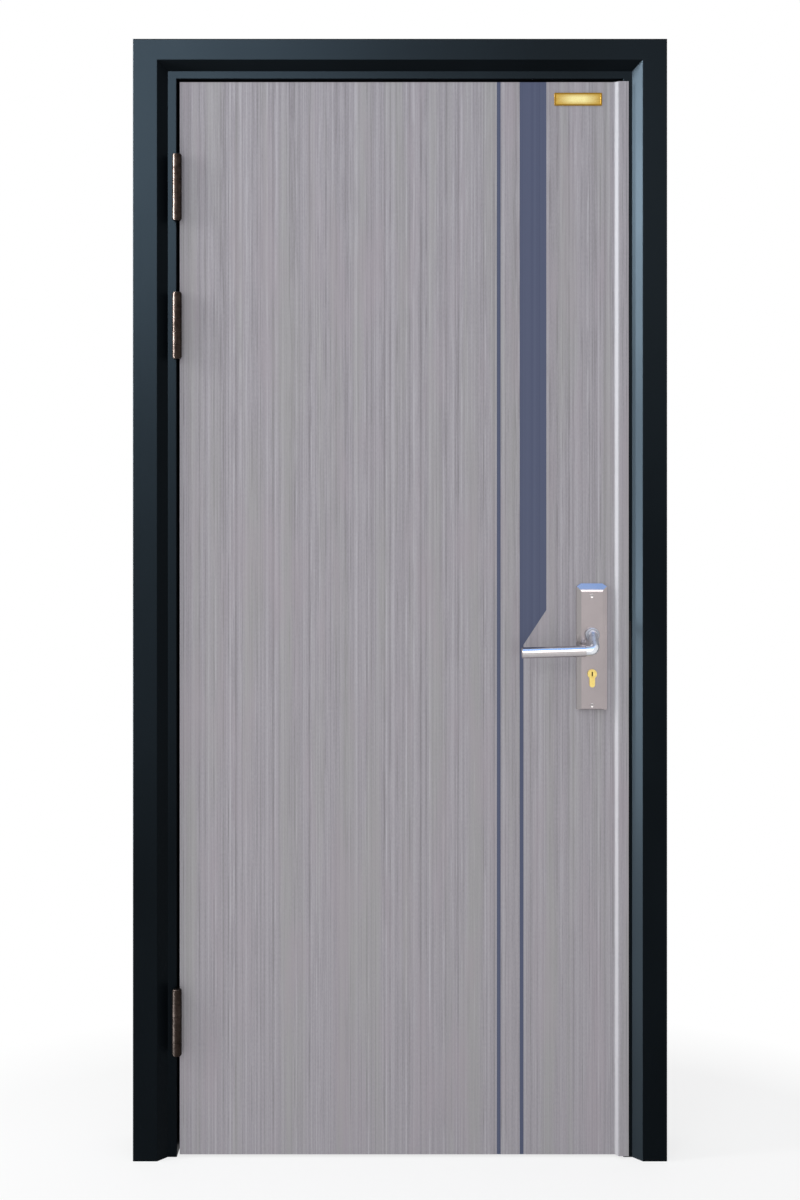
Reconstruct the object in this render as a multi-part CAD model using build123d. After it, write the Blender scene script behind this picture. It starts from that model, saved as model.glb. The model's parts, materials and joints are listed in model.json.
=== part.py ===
from build123d import *
import math
import os

# A single steel door leaf hung in a three-sided folded steel frame.
# Sizes are in millimetres. +X runs from the hinge side to the lock side, +Y into the wall, +Z up.
# The origin lies on the wall face of the hinge jamb's front lip, at floor level.

# Frame
FRAME_WIDTH = 976.0
FRAME_HEIGHT = 2050.0
FRAME_DEPTH = 110.0
FRAME_SHEET = 1.5
FRAME_BEND = 2.0
WALL_LIP = 20.0
JAMB_CASING = 44.5
HEAD_CASING = 38.5
SPLAY_WIDTH = 17.0
SPLAY_DEPTH = 17.0
JAMB_STEP = 16.6
HEAD_STEP = 14.5
STOP_WIDTH = 15.0
ANCHOR_COUNT = 4
ANCHOR_END = 250.0
ANCHOR_HOLE_RADIUS = 5.5

# Gaps around the leaf
HINGE_GAP = 5.0
LOCK_GAP = 8.0
TOP_GAP = 5.5
FLOOR_GAP = 5.0

# Leaf
LEAF_THICKNESS = 50.0
SKIN = 1.2
SKIN_BEND = SKIN
CHANNEL_FLANGE = 25.0
LIP_SLOPE = 6.4
LIP_RISE = 7.5
LIP_SHEET = 1.5
LIP_OVERLAP = 9.2
LIP_ROUND = 0.6

# Stripes, measured from the hinge edge of the leaf
STRIPE_GROOVE = 0.7
STRIPE_THICKNESS = 0.4
NARROW_STRIPE_FROM = 582.8
NARROW_STRIPE_WIDTH = 6.9
WIDE_STRIPE_FROM = 624.7
WIDE_STRIPE_WIDTH = 49.1
WIDE_STRIPE_TAIL = 7.1
WIDE_STRIPE_SIDE_END = 1005.0
WIDE_STRIPE_SLANT_END = 941.0

# Seals on the stop
SEAL_WIDTH = 10.0
SEAL_ROUND = 3.0
SEAL_DEPTH = 6.7
SEAL_CLEARANCE = 0.3

# Hinges
TOP_HINGE_DOWN = 194.5
MIDDLE_HINGE_DOWN = 447.5
BOTTOM_HINGE_UP = 246.5
HINGE_LENGTH = 117.0
KNUCKLES = 5
KNUCKLE_GAP = 0.6
BARREL_RADIUS = 8.8
BARREL_CLEARANCE = 1.2
HINGE_PLATE = 2.0
HINGE_PLATE_DEPTH = 38.0
HINGE_AXIS_FROM_JAMB = 1.7
HINGE_TONGUE = 4.0
PIN_RADIUS = 4.0
PIN_CLEARANCE = 0.1
PIN_HEAD_RADIUS = 7.6
PIN_HEAD_HEIGHT = 3.0
PIN_HEAD_ROUND = 2.0

# Lock in the leaf
BACKSET = 50.2
SPINDLE_HEIGHT = 961.0
LOCK_CENTRES = 72.0
LOCK_CASE_LENGTH = 75.0
LOCK_CASE_THICKNESS = 16.0
LOCK_CASE_HEIGHT = 165.0
LOCK_CASE_DROP = 31.0
FOREND_WIDTH = 22.0
FOREND_HEIGHT = 240.0
FOREND_THICKNESS = 2.5
BOLT_THICKNESS = 12.0
BOLT_POCKET = 20.0
LATCH_DROP = 2.0
LATCH_HEIGHT = 20.0
DEAD_BOLT_DROP = 53.0
DEAD_BOLT_HEIGHT = 34.0
SPINDLE_SIDE = 8.0
SPINDLE_CLEARANCE = 0.1
SPINDLE_HOLE_RADIUS = 10.0

# Strike on the lock jamb
STRIKE_THICKNESS = 1.0
STRIKE_FLANGE = 14.4
STRIKE_LEG = 42.0
STRIKE_HEIGHT = 103.0
STRIKE_ABOVE_SPINDLE = 23.0
STRIKE_HOLE_MARGIN = 3.0

# Cylinder
CYLINDER_RADIUS = 8.5
CYLINDER_HEIGHT = 33.0
CYLINDER_STEM = 10.0
CYLINDER_PROUD = 3.0
CYLINDER_CLEARANCE = 0.2
PLUG_RADIUS = 6.5
PLUG_CLEARANCE = 0.15
PLUG_LENGTH = 14.0
KEY_SLOT_WIDTH = 2.2
KEY_SLOT_HEIGHT = 8.0
KEY_SLOT_DEPTH = 8.0

# Handle plates
PLATE_WIDTH = 56.0
PLATE_FLAT = 39.0
PLATE_HEIGHT = 231.0
PLATE_ABOVE_SPINDLE = 93.0
PLATE_THICKNESS = 9.0
PLATE_LAND = 4.5
NOSE_HEIGHT = 15.5
NOSE_SLOPE = 31.0
NOSE_ROUND = 10.7
PLATE_CORNER = 5.5
PLATE_FOOT_ROUND = 3.0
PLATE_HOLE_RADIUS = 7.0

# Levers
COLLAR_RADIUS = 13.0
COLLAR_LENGTH = 8.0
COLLAR_GAP = 0.5
COLLAR_ROUND = 1.5
NECK_RADIUS = 8.5
NECK_STRAIGHT = 7.5
NECK_BEND = 11.5
NECK_DROP = 23.5
GRIP_RADIUS = 10.0
GRIP_FROM = 17.0
GRIP_TO = 132.5
GRIP_OUT = 56.0
GRIP_DROOP = 1.7
GRIP_ROUND = 1.5
SOCKET_DEPTH = 12.0

# Positions that follow from the sizes above
FRONT_Y = -WALL_LIP / 2
BACK_Y = FRONT_Y + FRAME_DEPTH
STEP_Y = FRONT_Y + SPLAY_DEPTH
LEAF_FRONT = STEP_Y
LEAF_BACK = LEAF_FRONT + LEAF_THICKNESS
LEAF_MIDDLE = (LEAF_FRONT + LEAF_BACK) / 2
STOP_Y = LEAF_BACK + SEAL_CLEARANCE + SEAL_DEPTH
JAMB_REBATE = JAMB_CASING + SPLAY_WIDTH + JAMB_STEP
HEAD_REBATE = HEAD_CASING + SPLAY_WIDTH + HEAD_STEP
LOCK_REBATE = FRAME_WIDTH - JAMB_REBATE
LEAF_HINGE_EDGE = JAMB_REBATE + HINGE_GAP
LEAF_LOCK_EDGE = LOCK_REBATE - LOCK_GAP
LEAF_BOTTOM = FLOOR_GAP
LEAF_TOP = FRAME_HEIGHT - HEAD_REBATE - TOP_GAP
LEAF_HEIGHT = LEAF_TOP - LEAF_BOTTOM
CORE_FRONT = LEAF_FRONT + SKIN
CORE_BACK = LEAF_BACK - SKIN
HINGE_X = JAMB_REBATE + HINGE_AXIS_FROM_JAMB
HINGE_Y = LEAF_FRONT - BARREL_RADIUS - BARREL_CLEARANCE
HINGE_CENTRES = {
    "top": LEAF_TOP - TOP_HINGE_DOWN,
    "middle": LEAF_TOP - MIDDLE_HINGE_DOWN,
    "bottom": LEAF_BOTTOM + BOTTOM_HINGE_UP,
}
SPINDLE_X = LEAF_LOCK_EDGE - BACKSET
CYLINDER_Z = SPINDLE_HEIGHT - LOCK_CENTRES
FOREND_BACK = LEAF_LOCK_EDGE - FOREND_THICKNESS
LOCK_CASE_CENTRE = SPINDLE_HEIGHT - LOCK_CASE_DROP
BOLTS = {
    "latch_bolt": (SPINDLE_HEIGHT - LATCH_DROP, LATCH_HEIGHT),
    "dead_bolt": (SPINDLE_HEIGHT - DEAD_BOLT_DROP, DEAD_BOLT_HEIGHT),
}
STRIKE_TO = SPINDLE_HEIGHT + STRIKE_ABOVE_SPINDLE
STRIKE_FROM = STRIKE_TO - STRIKE_HEIGHT
PLATE_TO = SPINDLE_HEIGHT + PLATE_ABOVE_SPINDLE
PLATE_FROM = PLATE_TO - PLATE_HEIGHT

leaf_mirror = Plane(origin=(0, LEAF_MIDDLE, 0), z_dir=(0, 1, 0))
lock_mirror = Plane(origin=(FRAME_WIDTH / 2, 0, 0), z_dir=(1, 0, 0))


def box(x0, x1, y0, y1, z0, z1):
    """A box between two corners."""
    middle = ((x0 + x1) / 2, (y0 + y1) / 2, (z0 + z1) / 2)
    return Pos(*middle) * Box(x1 - x0, y1 - y0, z1 - z0)


def rod(start, direction, radius, length):
    """A round rod from a point along a direction."""
    return extrude(Plane(origin=start, z_dir=direction) * Circle(radius), length)


def rounded_face(corners):
    """A flat face from (x, y, radius) corners, each corner rounded by its radius."""
    edges = []
    count = len(corners)
    starts = []
    ends = []
    for i in range(count):
        here = Vector(corners[i][0], corners[i][1])
        before = Vector(corners[i - 1][0], corners[i - 1][1])
        after = Vector(corners[(i + 1) % count][0], corners[(i + 1) % count][1])
        to_before = (before - here).normalized()
        to_after = (after - here).normalized()
        radius = corners[i][2]
        half = math.acos(max(-1.0, min(1.0, to_before.dot(to_after)))) / 2
        reach = radius / math.tan(half) if radius else 0.0
        starts.append(here + to_before * reach)
        ends.append(here + to_after * reach)
        if radius:
            bisector = (to_before + to_after).normalized()
            crown = here + bisector * (radius / math.sin(half) - radius)
            edges.append(ThreePointArc(starts[i], crown, ends[i]))
    for i in range(count):
        if (starts[(i + 1) % count] - ends[i]).length > 1e-6:
            edges.append(Line(ends[i], starts[(i + 1) % count]))
    return make_face(edges)


def folded_face(points, thickness, bend):
    """The section of a folded sheet. The sheet lies to the right of the path."""
    shifted = []
    turns = []
    for i in range(len(points)):
        normals = []
        for j in (i - 1, i):
            if 0 <= j < len(points) - 1:
                along = (Vector(*points[j + 1]) - Vector(*points[j])).normalized()
                normals.append(Vector(along.Y, -along.X))
        if len(normals) == 2:
            total = normals[0] + normals[1]
            shift = total * (thickness / (1 + normals[0].dot(normals[1])))
            turn = normals[0].X * normals[1].Y - normals[0].Y * normals[1].X
        else:
            shift = normals[0] * thickness
            turn = 0.0
        shifted.append(Vector(*points[i]) + shift)
        turns.append(turn)
    corners = []
    for point, turn in zip(points, turns):
        outside = turn < 0
        radius = bend if outside else bend - thickness
        corners.append((point[0], point[1], radius if turn else 0.0))
    for point, turn in reversed(list(zip(shifted, turns))):
        outside = turn > 0
        radius = bend if outside else bend - thickness
        corners.append((point.X, point.Y, radius if turn else 0.0))
    return rounded_face(corners)


def frame_path(casing, step):
    """The folded path of the frame, across from the wall and back from the casing's face."""
    rebate = casing + SPLAY_WIDTH + step
    stop = STOP_Y - FRONT_Y
    return [
        (0, WALL_LIP),
        (0, 0),
        (casing, 0),
        (casing + SPLAY_WIDTH, SPLAY_DEPTH),
        (rebate, SPLAY_DEPTH),
        (rebate, stop),
        (rebate + STOP_WIDTH, stop),
        (rebate + STOP_WIDTH, FRAME_DEPTH),
        (0, FRAME_DEPTH),
        (0, FRAME_DEPTH - WALL_LIP),
    ]


def frame_face(casing, step):
    """The frame's section, made on the mirrored path so that the sheet lies inside it."""
    path = [(across, -depth) for across, depth in frame_path(casing, step)]
    return mirror(folded_face(path, FRAME_SHEET, FRAME_BEND), Plane.XZ)


def head_region():
    """What belongs to the head at both welded corners."""
    seam = [
        (0, FRAME_HEIGHT),
        (JAMB_CASING, FRAME_HEIGHT - HEAD_CASING),
        (JAMB_CASING + SPLAY_WIDTH, FRAME_HEIGHT - HEAD_CASING - SPLAY_WIDTH),
        (JAMB_REBATE, FRAME_HEIGHT - HEAD_REBATE),
        (JAMB_REBATE + STOP_WIDTH, FRAME_HEIGHT - HEAD_REBATE - STOP_WIDTH),
    ]
    far_seam = [(FRAME_WIDTH - x, z) for x, z in reversed(seam)]
    outline = make_face(Polyline(*seam, *far_seam, close=True))
    return extrude(Plane(origin=(0, BACK_Y, 0), x_dir=(1, 0, 0), z_dir=(0, -1, 0)) * outline, FRAME_DEPTH)


def cylinder_face(clearance):
    """The pear-shaped cylinder section, seen from the front, about the plug's centre."""
    radius = CYLINDER_RADIUS + clearance
    stem = CYLINDER_STEM / 2 + clearance
    foot = CYLINDER_RADIUS - CYLINDER_HEIGHT + stem - clearance
    stem_face = Pos(0, foot / 2) * Rectangle(2 * stem, -foot)
    return Circle(radius) + stem_face + Pos(0, foot) * Circle(stem)


def through_leaf(face, x, z, y0, y1):
    """A face drawn as seen from the front, run along Y between two depths."""
    return extrude(Plane(origin=(x, y1, z), x_dir=(1, 0, 0), z_dir=(0, -1, 0)) * face, y1 - y0)


parts = {}

# Frame: two jambs and the head, folded from sheet and open to the wall
jamb_face = frame_face(JAMB_CASING, JAMB_STEP)
head_face = frame_face(HEAD_CASING, HEAD_STEP)
corner = head_region()
hinge_jamb = extrude(Pos(0, FRONT_Y) * jamb_face, FRAME_HEIGHT) - corner
soffit_x = JAMB_REBATE + STOP_WIDTH
soffit_y = (STOP_Y + BACK_Y) / 2
anchor_pitch = (FRAME_HEIGHT - 2 * ANCHOR_END) / (ANCHOR_COUNT - 1)
for i in range(ANCHOR_COUNT):
    height = ANCHOR_END + i * anchor_pitch
    hinge_jamb -= rod((soffit_x, soffit_y, height), (-1, 0, 0), ANCHOR_HOLE_RADIUS, 2 * FRAME_SHEET)
lock_jamb = mirror(hinge_jamb, lock_mirror)
head_plane = Plane(origin=(0, FRONT_Y, FRAME_HEIGHT), x_dir=(0, 0, -1), z_dir=(1, 0, 0))
head_jamb = extrude(head_plane * head_face, FRAME_WIDTH) & corner

# Seals on the three stops
seal_corners = [
    (-SEAL_WIDTH / 2, 0, 0),
    (SEAL_WIDTH / 2, 0, 0),
    (SEAL_WIDTH / 2, SEAL_DEPTH, SEAL_ROUND),
    (-SEAL_WIDTH / 2, SEAL_DEPTH, SEAL_ROUND),
]
seal_face = rounded_face(seal_corners)
seal_inset = STOP_WIDTH / 2
head_seal_z = FRAME_HEIGHT - HEAD_REBATE - seal_inset
jamb_seal_plane = Plane(origin=(JAMB_REBATE + seal_inset, STOP_Y, 0), x_dir=(-1, 0, 0), z_dir=(0, 0, 1))
hinge_side_seal = extrude(jamb_seal_plane * seal_face, head_seal_z - SEAL_WIDTH / 2)
head_seal_start = JAMB_REBATE + seal_inset - SEAL_WIDTH / 2
head_seal_plane = Plane(origin=(head_seal_start, STOP_Y, head_seal_z), x_dir=(0, 0, 1), z_dir=(1, 0, 0))
parts["hinge_side_seal"] = hinge_side_seal
parts["lock_side_seal"] = mirror(hinge_side_seal, lock_mirror)
parts["head_seal"] = extrude(head_seal_plane * seal_face, FRAME_WIDTH - 2 * head_seal_start)

# Strike: a flange on the step and a leg on the rebate wall, cut for both bolts
strike_front = STEP_Y - STRIKE_THICKNESS
strike_inner = LOCK_REBATE - STRIKE_THICKNESS
strike = box(strike_inner, LOCK_REBATE + STRIKE_FLANGE, strike_front, STEP_Y, STRIKE_FROM, STRIKE_TO)
strike += box(strike_inner, LOCK_REBATE, strike_front, STEP_Y + STRIKE_LEG, STRIKE_FROM, STRIKE_TO)
for bolt_z, bolt_height in BOLTS.values():
    half_height = bolt_height / 2 + STRIKE_HOLE_MARGIN
    half_width = BOLT_THICKNESS / 2 + STRIKE_HOLE_MARGIN
    bolt_hole = box(
        strike_inner - STRIKE_THICKNESS,
        LOCK_REBATE + 2 * FRAME_SHEET,
        LEAF_MIDDLE - half_width,
        LEAF_MIDDLE + half_width,
        bolt_z - half_height,
        bolt_z + half_height,
    )
    strike -= bolt_hole
    lock_jamb -= bolt_hole
parts["hinge_jamb"] = hinge_jamb
parts["lock_jamb"] = lock_jamb
parts["head_jamb"] = head_jamb
parts["strike_plate"] = strike

# Leaf: two folded skins that meet at mid thickness, closed by a channel at each end
front_path = [
    (LEAF_LOCK_EDGE, LEAF_MIDDLE),
    (LEAF_LOCK_EDGE, LEAF_FRONT),
    (LEAF_HINGE_EDGE, LEAF_FRONT),
    (LEAF_HINGE_EDGE, LEAF_MIDDLE),
]
front_path = [(x, -y) for x, y in front_path]
skin_face = mirror(folded_face(front_path[::-1], SKIN, SKIN_BEND), Plane.XZ)
front_skin = extrude(Pos(0, 0, LEAF_BOTTOM) * skin_face, LEAF_HEIGHT)
back_skin = mirror(front_skin, leaf_mirror)

channel_path = [
    (CORE_FRONT, CHANNEL_FLANGE),
    (CORE_FRONT, 0),
    (CORE_BACK, 0),
    (CORE_BACK, CHANNEL_FLANGE),
]
channel_face = mirror(folded_face([(y, -z) for y, z in channel_path], SKIN, SKIN_BEND), Plane.XZ)
core_start = LEAF_HINGE_EDGE + SKIN
core_end = LEAF_LOCK_EDGE - SKIN
channel_plane = Plane(origin=(core_start, 0, LEAF_BOTTOM), x_dir=(0, 1, 0), z_dir=(1, 0, 0))
bottom_channel = extrude(channel_plane * channel_face, core_end - core_start)
half_height_plane = Plane(origin=(0, 0, (LEAF_BOTTOM + LEAF_TOP) / 2), z_dir=(0, 0, 1))
parts["leaf_bottom_channel"] = bottom_channel
parts["leaf_top_channel"] = mirror(bottom_channel, half_height_plane)

core_bottom = LEAF_BOTTOM + CHANNEL_FLANGE
core_top = LEAF_TOP - CHANNEL_FLANGE
core = box(core_start, core_end, CORE_FRONT, CORE_BACK, core_bottom, core_top)

# Raised lip that covers the gap on the lock side
lip_face_y = LEAF_FRONT - LIP_RISE
lip_back_y = lip_face_y + LIP_SHEET
lip_end = LOCK_REBATE + LIP_OVERLAP
lip_top = LEAF_LOCK_EDGE - SKIN_BEND
lip_corners = [
    (lip_top - LIP_SLOPE, LEAF_FRONT, 0),
    (lip_top, lip_face_y, LIP_ROUND),
    (lip_end, lip_face_y, LIP_ROUND),
    (lip_end, lip_back_y, LIP_ROUND),
    (lip_top, lip_back_y, LIP_ROUND),
    (lip_top, LEAF_FRONT, 0),
]
parts["leaf_lock_lip"] = extrude(Pos(0, 0, LEAF_BOTTOM) * rounded_face(lip_corners), LEAF_HEIGHT)

# Two stripes let into the front skin
groove_floor = LEAF_FRONT + STRIPE_GROOVE
narrow_start = LEAF_HINGE_EDGE + NARROW_STRIPE_FROM
wide_start = LEAF_HINGE_EDGE + WIDE_STRIPE_FROM
wide_corners = [
    (wide_start, LEAF_BOTTOM),
    (wide_start + WIDE_STRIPE_TAIL, LEAF_BOTTOM),
    (wide_start + WIDE_STRIPE_TAIL, WIDE_STRIPE_SLANT_END),
    (wide_start + WIDE_STRIPE_WIDTH, WIDE_STRIPE_SIDE_END),
    (wide_start + WIDE_STRIPE_WIDTH, LEAF_TOP),
    (wide_start, LEAF_TOP),
]
narrow_face = make_face(
    Polyline(
        (narrow_start, LEAF_BOTTOM),
        (narrow_start + NARROW_STRIPE_WIDTH, LEAF_BOTTOM),
        (narrow_start + NARROW_STRIPE_WIDTH, LEAF_TOP),
        (narrow_start, LEAF_TOP),
        close=True,
    )
)
wide_face = make_face(Polyline(*wide_corners, close=True))
for name, face in {"narrow_stripe": narrow_face, "wide_stripe": wide_face}.items():
    front_skin -= through_leaf(face, 0, 0, LEAF_FRONT, groove_floor)
    parts[name] = through_leaf(face, 0, 0, groove_floor - STRIPE_THICKNESS, groove_floor)

# Lock: case, forend and bolts drawn back flush
case_start = FOREND_BACK - LOCK_CASE_LENGTH
case_front = LEAF_MIDDLE - LOCK_CASE_THICKNESS / 2
case_back = LEAF_MIDDLE + LOCK_CASE_THICKNESS / 2
case_bottom = LOCK_CASE_CENTRE - LOCK_CASE_HEIGHT / 2
case_top = LOCK_CASE_CENTRE + LOCK_CASE_HEIGHT / 2
forend_front = LEAF_MIDDLE - FOREND_WIDTH / 2
forend_back = LEAF_MIDDLE + FOREND_WIDTH / 2
forend_bottom = LOCK_CASE_CENTRE - FOREND_HEIGHT / 2
forend_top = LOCK_CASE_CENTRE + FOREND_HEIGHT / 2
lock_case = box(case_start, FOREND_BACK, case_front, case_back, case_bottom, case_top)
forend = box(FOREND_BACK, LEAF_LOCK_EDGE, forend_front, forend_back, forend_bottom, forend_top)
core -= lock_case
core -= forend
front_skin -= forend
back_skin -= forend
for name, (bolt_z, bolt_height) in BOLTS.items():
    bolt = box(
        FOREND_BACK - BOLT_POCKET,
        LEAF_LOCK_EDGE,
        LEAF_MIDDLE - BOLT_THICKNESS / 2,
        LEAF_MIDDLE + BOLT_THICKNESS / 2,
        bolt_z - bolt_height / 2,
        bolt_z + bolt_height / 2,
    )
    lock_case -= bolt
    forend -= bolt
    parts[name] = bolt

# Handle plate: bevelled long sides, a sloping top end and clipped top corners
plate_front = LEAF_FRONT - PLATE_THICKNESS
plate_land = LEAF_FRONT - PLATE_LAND
plan_corners = [
    (SPINDLE_X - PLATE_WIDTH / 2, LEAF_FRONT),
    (SPINDLE_X - PLATE_WIDTH / 2, plate_land),
    (SPINDLE_X - PLATE_FLAT / 2, plate_front),
    (SPINDLE_X + PLATE_FLAT / 2, plate_front),
    (SPINDLE_X + PLATE_WIDTH / 2, plate_land),
    (SPINDLE_X + PLATE_WIDTH / 2, LEAF_FRONT),
]
plan = extrude(Pos(0, 0, PLATE_FROM) * make_face(Polyline(*plan_corners, close=True)), PLATE_HEIGHT)
nose_slope = math.radians(NOSE_SLOPE)
nose_start, nose_middle, nose_bend = [
    (
        plate_front + NOSE_ROUND * (1 - math.cos(angle)),
        PLATE_TO - NOSE_HEIGHT + NOSE_ROUND * math.sin(angle),
    )
    for angle in (0, nose_slope / 2, nose_slope)
]
nose_end = (nose_bend[0] + (PLATE_TO - nose_bend[1]) * math.tan(nose_slope), PLATE_TO)
foot_middle = PLATE_FOOT_ROUND * (1 - math.sqrt(0.5))
foot_start = (plate_front + PLATE_FOOT_ROUND, PLATE_FROM)
side_edges = [
    ThreePointArc(nose_start, nose_middle, nose_bend),
    Polyline(nose_bend, nose_end, (LEAF_FRONT, PLATE_TO), (LEAF_FRONT, PLATE_FROM), foot_start),
    ThreePointArc(
        foot_start,
        (plate_front + foot_middle, PLATE_FROM + foot_middle),
        (plate_front, PLATE_FROM + PLATE_FOOT_ROUND),
    ),
    Line((plate_front, PLATE_FROM + PLATE_FOOT_ROUND), nose_start),
]
side_plane = Plane(origin=(SPINDLE_X - PLATE_WIDTH, 0, 0), x_dir=(0, 1, 0), z_dir=(1, 0, 0))
side = extrude(side_plane * make_face(side_edges), 2 * PLATE_WIDTH)
outline_corners = [
    (SPINDLE_X - PLATE_WIDTH / 2, PLATE_FROM),
    (SPINDLE_X + PLATE_WIDTH / 2, PLATE_FROM),
    (SPINDLE_X + PLATE_WIDTH / 2, PLATE_TO - PLATE_CORNER),
    (SPINDLE_X + PLATE_FLAT / 2, PLATE_TO),
    (SPINDLE_X - PLATE_FLAT / 2, PLATE_TO),
    (SPINDLE_X - PLATE_WIDTH / 2, PLATE_TO - PLATE_CORNER),
]
outline = through_leaf(make_face(Polyline(*outline_corners, close=True)), 0, 0, plate_front, LEAF_FRONT)
outside_plate = plan & side & outline
plate_hole = Circle(PLATE_HOLE_RADIUS)
outside_plate -= through_leaf(plate_hole, SPINDLE_X, SPINDLE_HEIGHT, plate_front, LEAF_FRONT)

# Cylinder through the leaf, with a plug at each end
cylinder_front = plate_front - CYLINDER_PROUD
cylinder_back = 2 * LEAF_MIDDLE - cylinder_front
cylinder = through_leaf(cylinder_face(0), SPINDLE_X, CYLINDER_Z, cylinder_front, cylinder_back)
cylinder_way = through_leaf(
    cylinder_face(CYLINDER_CLEARANCE), SPINDLE_X, CYLINDER_Z, cylinder_front, cylinder_back
)
plug_bore = through_leaf(
    Circle(PLUG_RADIUS + PLUG_CLEARANCE),
    SPINDLE_X,
    CYLINDER_Z,
    cylinder_front,
    cylinder_front + PLUG_LENGTH + PLUG_CLEARANCE,
)
cylinder -= plug_bore
cylinder -= mirror(plug_bore, leaf_mirror)
plug_back = cylinder_front + PLUG_LENGTH
key_plug = through_leaf(Circle(PLUG_RADIUS), SPINDLE_X, CYLINDER_Z, cylinder_front, plug_back)
key_plug -= through_leaf(
    Rectangle(KEY_SLOT_WIDTH, KEY_SLOT_HEIGHT),
    SPINDLE_X,
    CYLINDER_Z,
    cylinder_front,
    cylinder_front + KEY_SLOT_DEPTH,
)
spindle_way = through_leaf(Circle(SPINDLE_HOLE_RADIUS), SPINDLE_X, SPINDLE_HEIGHT, LEAF_FRONT, LEAF_BACK)
front_skin = front_skin - spindle_way - cylinder_way
back_skin = back_skin - spindle_way - cylinder_way
core = core - spindle_way - cylinder_way
lock_case = lock_case - spindle_way - cylinder_way
outside_plate = outside_plate - cylinder_way
parts["leaf_front_skin"] = front_skin
parts["leaf_back_skin"] = back_skin
parts["leaf_core"] = core
parts["lock_case"] = lock_case
parts["lock_forend"] = forend
parts["outside_handle_plate"] = outside_plate
parts["inside_handle_plate"] = mirror(outside_plate, leaf_mirror)
parts["lock_cylinder"] = cylinder
parts["key_plug"] = key_plug
parts["inside_key_plug"] = mirror(key_plug, leaf_mirror)

# Levers: a collar and cranked neck, a grip sleeve, and one square spindle for both
collar_back = plate_front - COLLAR_GAP
collar_front = collar_back - COLLAR_LENGTH
collar = rod((SPINDLE_X, collar_back, SPINDLE_HEIGHT), (0, -1, 0), COLLAR_RADIUS, COLLAR_LENGTH)
collar = fillet(collar.edges().filter_by(GeomType.CIRCLE).sort_by(Axis.Y)[0], COLLAR_ROUND)
grip_y = LEAF_FRONT - GRIP_OUT
grip_z = SPINDLE_HEIGHT - NECK_DROP
droop = math.radians(GRIP_DROOP)
grip_along = Vector(-math.cos(droop), 0, -math.sin(droop))
elbow = Vector(SPINDLE_X, grip_y, grip_z)
neck_end = elbow + grip_along * GRIP_FROM
neck_path = FilletPolyline(
    (SPINDLE_X, collar_front, SPINDLE_HEIGHT),
    (SPINDLE_X, collar_front - NECK_STRAIGHT, SPINDLE_HEIGHT),
    elbow,
    neck_end,
    radius=NECK_BEND,
)
neck_start = Plane(origin=(SPINDLE_X, collar_front, SPINDLE_HEIGHT), z_dir=(0, -1, 0))
neck = collar + sweep(neck_start * Circle(NECK_RADIUS), path=neck_path)
socket_side = SPINDLE_SIDE + 2 * SPINDLE_CLEARANCE
neck -= through_leaf(
    Rectangle(socket_side, socket_side),
    SPINDLE_X,
    SPINDLE_HEIGHT,
    collar_back - SOCKET_DEPTH,
    collar_back,
)
grip = rod(neck_end, grip_along, GRIP_RADIUS, GRIP_TO - GRIP_FROM)
grip = fillet(grip.edges().filter_by(GeomType.CIRCLE), GRIP_ROUND)
spindle_front = collar_back - SOCKET_DEPTH + SPINDLE_CLEARANCE
parts["outside_lever_neck"] = neck
parts["outside_lever_grip"] = grip
parts["inside_lever_neck"] = mirror(neck, leaf_mirror)
parts["inside_lever_grip"] = mirror(grip, leaf_mirror)
parts["lever_spindle"] = through_leaf(
    Rectangle(SPINDLE_SIDE, SPINDLE_SIDE),
    SPINDLE_X,
    SPINDLE_HEIGHT,
    spindle_front,
    2 * LEAF_MIDDLE - spindle_front,
)

# Hinges: knuckles shared by a plate on the jamb and a plate on the leaf's edge, on one pin
knuckle_length = (HINGE_LENGTH - (KNUCKLES - 1) * KNUCKLE_GAP) / KNUCKLES
plate_ends = {
    "frame": (JAMB_REBATE, JAMB_REBATE + HINGE_PLATE),
    "door": (LEAF_HINGE_EDGE - HINGE_PLATE, LEAF_HINGE_EDGE),
}
for place, centre in HINGE_CENTRES.items():
    hinge_bottom = centre - HINGE_LENGTH / 2
    hinge_top = centre + HINGE_LENGTH / 2
    for side_name, (x0, x1) in plate_ends.items():
        first = 0 if side_name == "frame" else 1
        hinge = box(x0, x1, LEAF_FRONT, LEAF_FRONT + HINGE_PLATE_DEPTH, hinge_bottom, hinge_top)
        for i in range(first, KNUCKLES, 2):
            z0 = hinge_bottom + i * (knuckle_length + KNUCKLE_GAP)
            hinge += rod((HINGE_X, HINGE_Y, z0), (0, 0, 1), BARREL_RADIUS, knuckle_length)
            hinge += box(x0, x1, LEAF_FRONT - HINGE_TONGUE, LEAF_FRONT, z0, z0 + knuckle_length)
        hinge -= rod((HINGE_X, HINGE_Y, hinge_bottom), (0, 0, 1), PIN_RADIUS + PIN_CLEARANCE, HINGE_LENGTH)
        parts[place + "_hinge_" + side_name + "_plate"] = hinge
    pin = rod((HINGE_X, HINGE_Y, hinge_bottom), (0, 0, 1), PIN_RADIUS, HINGE_LENGTH)
    for z, up in ((hinge_bottom, -1), (hinge_top, 1)):
        head = rod((HINGE_X, HINGE_Y, z), (0, 0, up), PIN_HEAD_RADIUS, PIN_HEAD_HEIGHT)
        rim = head.edges().filter_by(GeomType.CIRCLE).sort_by(Axis.Z)[-1 if up > 0 else 0]
        pin += fillet(rim, PIN_HEAD_ROUND)
    parts[place + "_hinge_pin"] = pin

os.makedirs("parts", exist_ok=True)
for name, part in parts.items():
    export_step(part, "parts/" + name + ".step")
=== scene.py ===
import bmesh
import bpy
import json
import math
from mathutils import Matrix, Vector


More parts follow.
